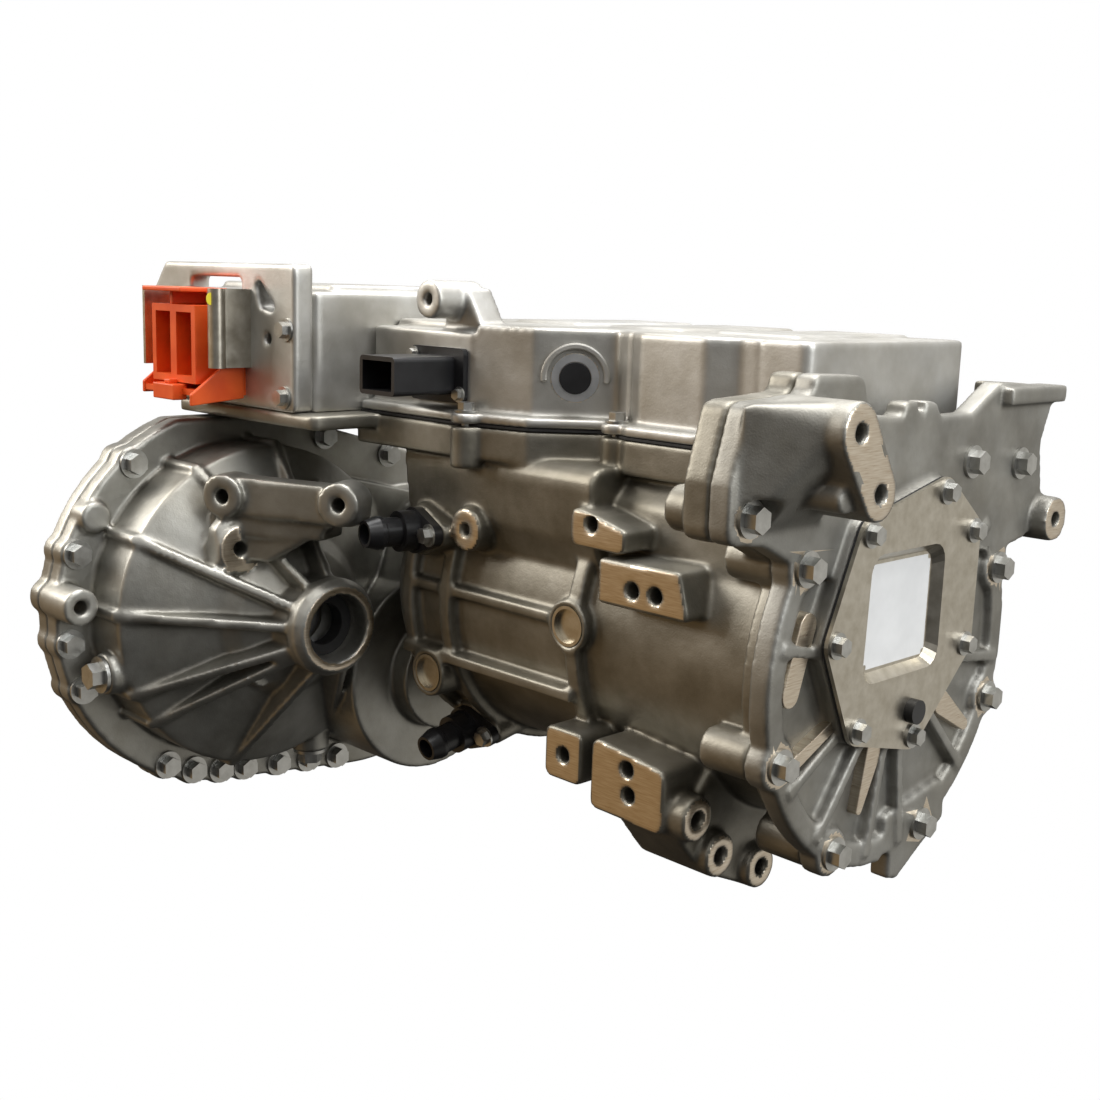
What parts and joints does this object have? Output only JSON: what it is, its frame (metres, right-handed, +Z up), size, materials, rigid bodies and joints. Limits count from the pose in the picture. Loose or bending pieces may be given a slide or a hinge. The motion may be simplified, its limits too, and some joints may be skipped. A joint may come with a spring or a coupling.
{
  "type": "electric drive unit",
  "caption": "Cast electric drive unit: motor barrel with ribbed end cover, inverter box on top, orange high-voltage connector and a bell-shaped reduction gearbox with differential.",
  "frame": {"origin": "centre of the mouth of the right output bore", "axes": "+X along the motor and output axes towards the end cover, +Z up, -Y towards the front with the machined pads"},
  "size_m": [0.6081, 0.4922, 0.4086],
  "materials": {
    "cast": "sand-cast grain, machined on its fixing faces",
    "cast_bright": "fine die-cast skin",
    "cast_dark": "rough die-cast skin",
    "pressed_steel": "zinc-plated sheet",
    "steel": "zinc-plated",
    "lamination": "stacked sheet",
    "copper": "bare copper",
    "orange_plastic": "moulded",
    "black_plastic": "moulded",
    "board": "solder resist",
    "rubber": "moulded"
  },
  "bodies": {
    "unit": {"motor_housing": "cast", "end_cover": "cast", "end_cover_bolts": "steel", "access_cover": "pressed_steel", "access_gasket": "rubber", "access_screws": "steel", "access_plug": "black_plastic", "inverter_cover": "cast_bright", "inverter_seal": "rubber", "inverter_bolts": "steel", "vent_valve": "black_plastic", "hv_box": "cast_bright", "hv_frame": "cast_bright", "hv_connector": "orange_plastic", "hv_contacts": "copper", "hv_guides": "pressed_steel", "hv_screws": "steel", "signal_connector": "black_plastic", "signal_pins": "copper", "signal_screws": "steel", "coolant_inlet": "black_plastic", "coolant_outlet": "black_plastic", "coolant_screws": "steel", "coolant_seals": "rubber", "core_plugs": "pressed_steel", "gearbox_housing": "cast_dark", "gearbox_cover": "cast_dark", "gearbox_bolts": "steel", "oil_plugs": "steel", "gearbox_dowels": "steel", "stator_core": "lamination", "stator_winding": "copper", "rotor_bearings": "steel", "resolver_stator": "lamination", "phase_busbars": "copper", "power_module": "black_plastic", "link_capacitor": "black_plastic", "control_board": "board", "layshaft_bearings": "steel", "differential_bearings": "steel", "output_seals": "rubber"},
    "differential": {"differential_case": "cast_dark", "differential_cap": "cast_dark", "ring_gear": "steel", "ring_bolts": "steel", "cross_pin": "steel"},
    "layshaft": {"layshaft": "steel", "layshaft_gear": "steel"},
    "rotor": {"rotor_shaft": "steel", "rotor_core": "lamination", "resolver_rotor": "steel", "input_pinion": "steel"},
    "side_right": {"side_gear_right": "steel"},
    "side_left": {"side_gear_left": "steel"},
    "planet_upper": {"pinion_upper": "steel"},
    "planet_lower": {"pinion_lower": "steel"}
  },
  "joints": [
    {"name": "diff_spin", "type": "hinge", "parent": "unit", "child": "differential", "pos_m": [-0.107, 0, 0], "axis": [1, 0, 0], "continuous": true},
    {"name": "layshaft_spin", "type": "hinge", "parent": "unit", "child": "layshaft", "pos_m": [-0.107, 0.1239, -0.05962], "axis": [1, 0, 0], "continuous": true},
    {"name": "rotor_spin", "type": "hinge", "parent": "unit", "child": "rotor", "pos_m": [-0.107, 0.16, 0.025], "axis": [1, 0, 0], "continuous": true},
    {"name": "side_right_spin", "type": "hinge", "parent": "differential", "child": "side_right", "pos_m": [-0.107, 0, 0], "axis": [1, 0, 0], "continuous": true},
    {"name": "side_left_spin", "type": "hinge", "parent": "differential", "child": "side_left", "pos_m": [-0.107, 0, 0], "axis": [1, 0, 0], "continuous": true},
    {"name": "planet_upper_spin", "type": "hinge", "parent": "differential", "child": "planet_upper", "pos_m": [-0.107, 0, 0], "axis": [0, 0, 1], "continuous": true},
    {"name": "planet_lower_spin", "type": "hinge", "parent": "differential", "child": "planet_lower", "pos_m": [-0.107, 0, 0], "axis": [0, 0, 1], "continuous": true}
  ],
  "couplings": [
    {"joint": "layshaft_spin", "follows": "diff_spin", "ratio": -3.2308},
    {"joint": "rotor_spin", "follows": "diff_spin", "ratio": 8.2012},
    {"joint": "side_left_spin", "follows": "side_right_spin", "ratio": -1},
    {"joint": "planet_upper_spin", "follows": "side_right_spin", "ratio": -1.6},
    {"joint": "planet_lower_spin", "follows": "side_right_spin", "ratio": 1.6}
  ]
}
